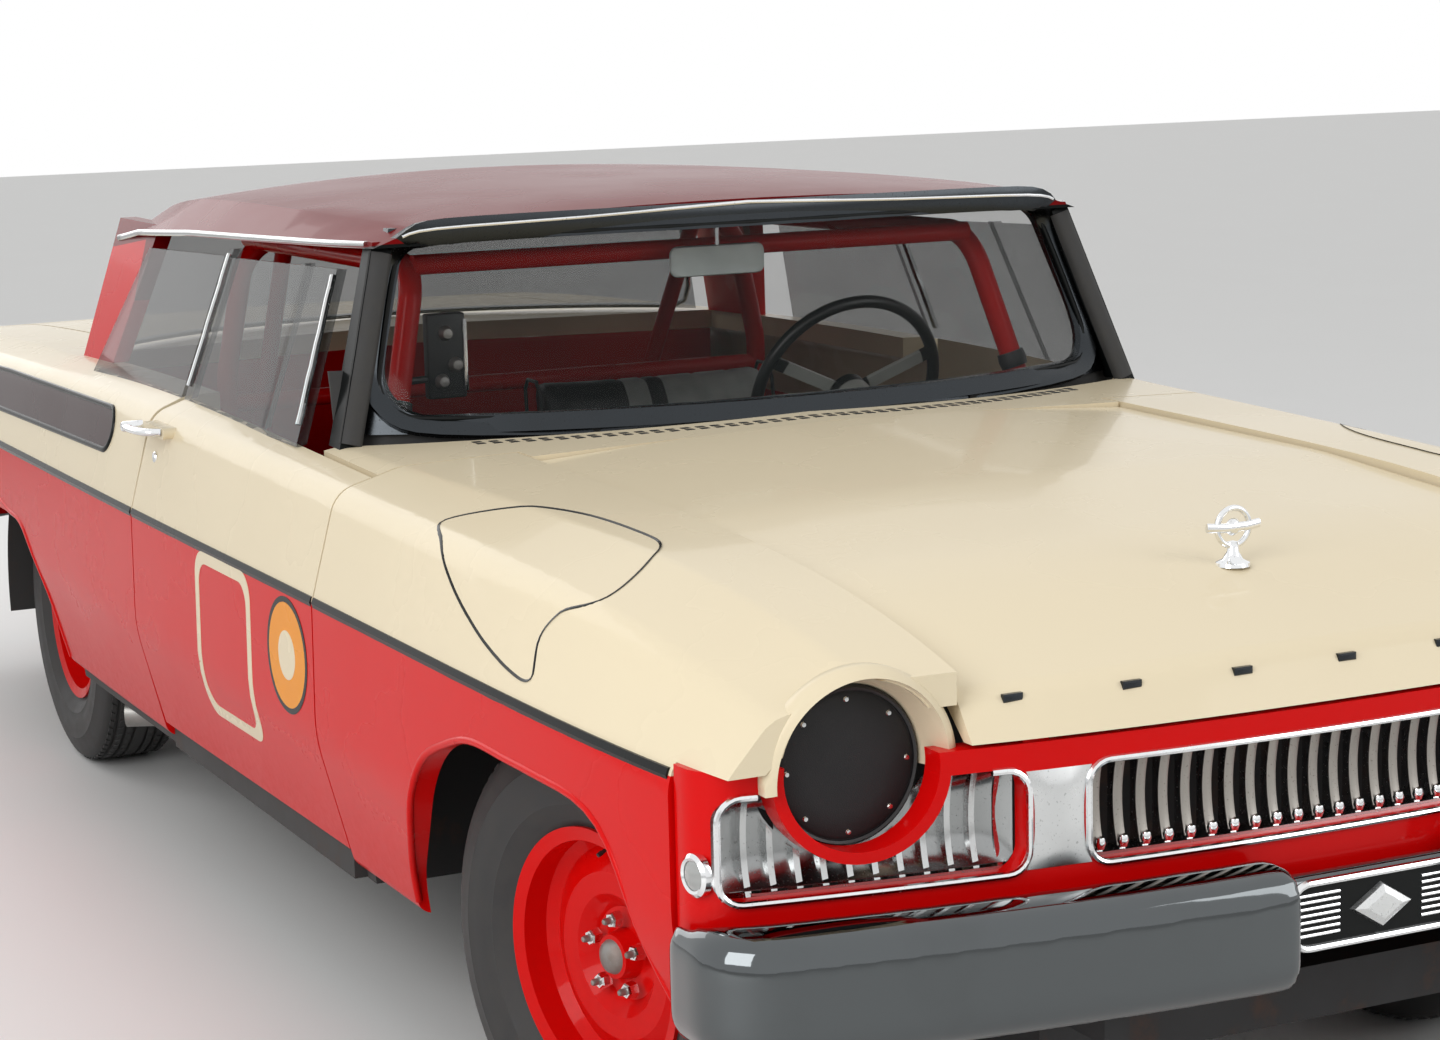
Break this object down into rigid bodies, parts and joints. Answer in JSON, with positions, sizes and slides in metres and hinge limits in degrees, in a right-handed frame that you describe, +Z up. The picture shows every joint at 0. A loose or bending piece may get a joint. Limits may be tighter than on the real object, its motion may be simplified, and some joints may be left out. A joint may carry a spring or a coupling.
{
  "type": "stock car",
  "caption": "Two-door hardtop stock car with a tall curved greenhouse, long hood, toothed grille, chrome bumpers, roll cage and steel race wheels.",
  "frame": {"origin": "on the ground, below the middle of the car's bounding box", "axes": "+X forward along the car, +Y to the car's left, +Z up"},
  "size_m": [5.3619, 2.0044, 1.4379],
  "materials": {
    "red_cream_paint": "gloss two-tone",
    "cream_paint": "gloss",
    "red_paint": "gloss",
    "glass": "clear",
    "chrome": "polished",
    "dark_trim": "polished",
    "black_steel": "satin",
    "cast_iron": "rough",
    "bare_steel": "satin",
    "black_plastic": "matte",
    "red_lens": "gloss",
    "seat_cloth": "satin",
    "tyre": "matte",
    "wheel_paint": "gloss"
  },
  "bodies": {
    "car": {"backlight": "glass", "bumper_front": "chrome", "bumper_rear": "chrome", "chassis_frame": "black_steel", "cowl": "cream_paint", "dashboard": "black_plastic", "driver_seat": "seat_cloth", "engine": "cast_iron", "engine_bay": "black_steel", "exhaust": "bare_steel", "fender_left": "red_cream_paint", "fender_right": "red_cream_paint", "firewall": "black_steel", "floor": "black_steel", "front_panel": "red_cream_paint", "front_suspension": "black_steel", "fuel_tank": "black_steel", "grille": "chrome", "headlamps": "black_plastic", "mirror": "chrome", "quarter_glass_left": "glass", "quarter_glass_right": "glass", "quarter_left": "red_cream_paint", "quarter_right": "red_cream_paint", "radiator": "black_steel", "rear_axle": "black_steel", "rear_bulkhead": "red_paint", "rear_deck": "cream_paint", "roll_cage": "red_paint", "roof": "red_paint", "seat_frame": "black_steel", "steering_column": "black_steel", "tail_lamps": "red_lens", "tail_panel": "red_paint", "windshield": "glass", "windshield_trim": "dark_trim"},
    "hood": {"hood": "cream_paint"},
    "boot_lid": {"boot_lid": "cream_paint"},
    "door_left": {"door_left": "red_cream_paint", "door_glass_left": "glass"},
    "door_right": {"door_right": "red_cream_paint", "door_glass_right": "glass"},
    "knuckle_left": {"knuckle_left": "cast_iron"},
    "knuckle_right": {"knuckle_right": "cast_iron"},
    "steering_wheel": {"steering_wheel": "black_plastic"},
    "wheel_front_left": {"rim_front_left": "wheel_paint", "tyre_front_left": "tyre"},
    "wheel_front_right": {"rim_front_right": "wheel_paint", "tyre_front_right": "tyre"},
    "wheel_rear_left": {"rim_rear_left": "wheel_paint", "tyre_rear_left": "tyre"},
    "wheel_rear_right": {"rim_rear_right": "wheel_paint", "tyre_rear_right": "tyre"}
  },
  "joints": [
    {"name": "steer_right", "type": "hinge", "parent": "car", "child": "knuckle_right", "pos_m": [1.771, -0.64, 0.36], "axis": [0, 0, 1], "range_deg": [-45, 19]},
    {"name": "steer_left", "type": "hinge", "parent": "car", "child": "knuckle_left", "pos_m": [1.771, 0.64, 0.36], "axis": [0, 0, 1], "range_deg": [-45, 19]},
    {"name": "steering_wheel_turn", "type": "hinge", "parent": "car", "child": "steering_wheel", "pos_m": [0.372, 0.39, 0.985], "axis": [-0.9272, 0, 0.3746], "range_deg": [-720, 304]},
    {"name": "front_wheel_spin_left", "type": "hinge", "parent": "knuckle_left", "child": "wheel_front_left", "pos_m": [1.74513, 0.75205, 0.36], "axis": [-0.225, 0.9744, 0], "continuous": true},
    {"name": "rear_wheel_spin_left", "type": "hinge", "parent": "car", "child": "wheel_rear_left", "pos_m": [-1.328, 0.755, 0.36], "axis": [0, 1, 0], "continuous": true},
    {"name": "front_wheel_spin_right", "type": "hinge", "parent": "knuckle_right", "child": "wheel_front_right", "pos_m": [1.79687, -0.75205, 0.36], "axis": [-0.225, 0.9744, 0], "continuous": true},
    {"name": "rear_wheel_spin_right", "type": "hinge", "parent": "car", "child": "wheel_rear_right", "pos_m": [-1.328, -0.755, 0.36], "axis": [0, 1, 0], "continuous": true},
    {"name": "door_left_swing", "type": "hinge", "parent": "car", "child": "door_left", "pos_m": [1.01, 1.004, 0.68], "axis": [0, 0, -1], "range_deg": [0, 65]},
    {"name": "door_right_swing", "type": "hinge", "parent": "car", "child": "door_right", "pos_m": [1.01, -1.004, 0.68], "axis": [0, 0, 1], "range_deg": [0, 65]},
    {"name": "hood_lift", "type": "hinge", "parent": "car", "child": "hood", "pos_m": [1.078, 0, 1.045], "axis": [0, -1, 0], "range_deg": [0, 50]},
    {"name": "boot_lift", "type": "hinge", "parent": "car", "child": "boot_lid", "pos_m": [-1.56, 0, 1.03], "axis": [0, 1, 0], "range_deg": [0, 60]}
  ],
  "couplings": [
    {"joint": "steer_left", "follows": "steer_right", "ratio": 1},
    {"joint": "steering_wheel_turn", "follows": "steer_right", "ratio": 16}
  ]
}
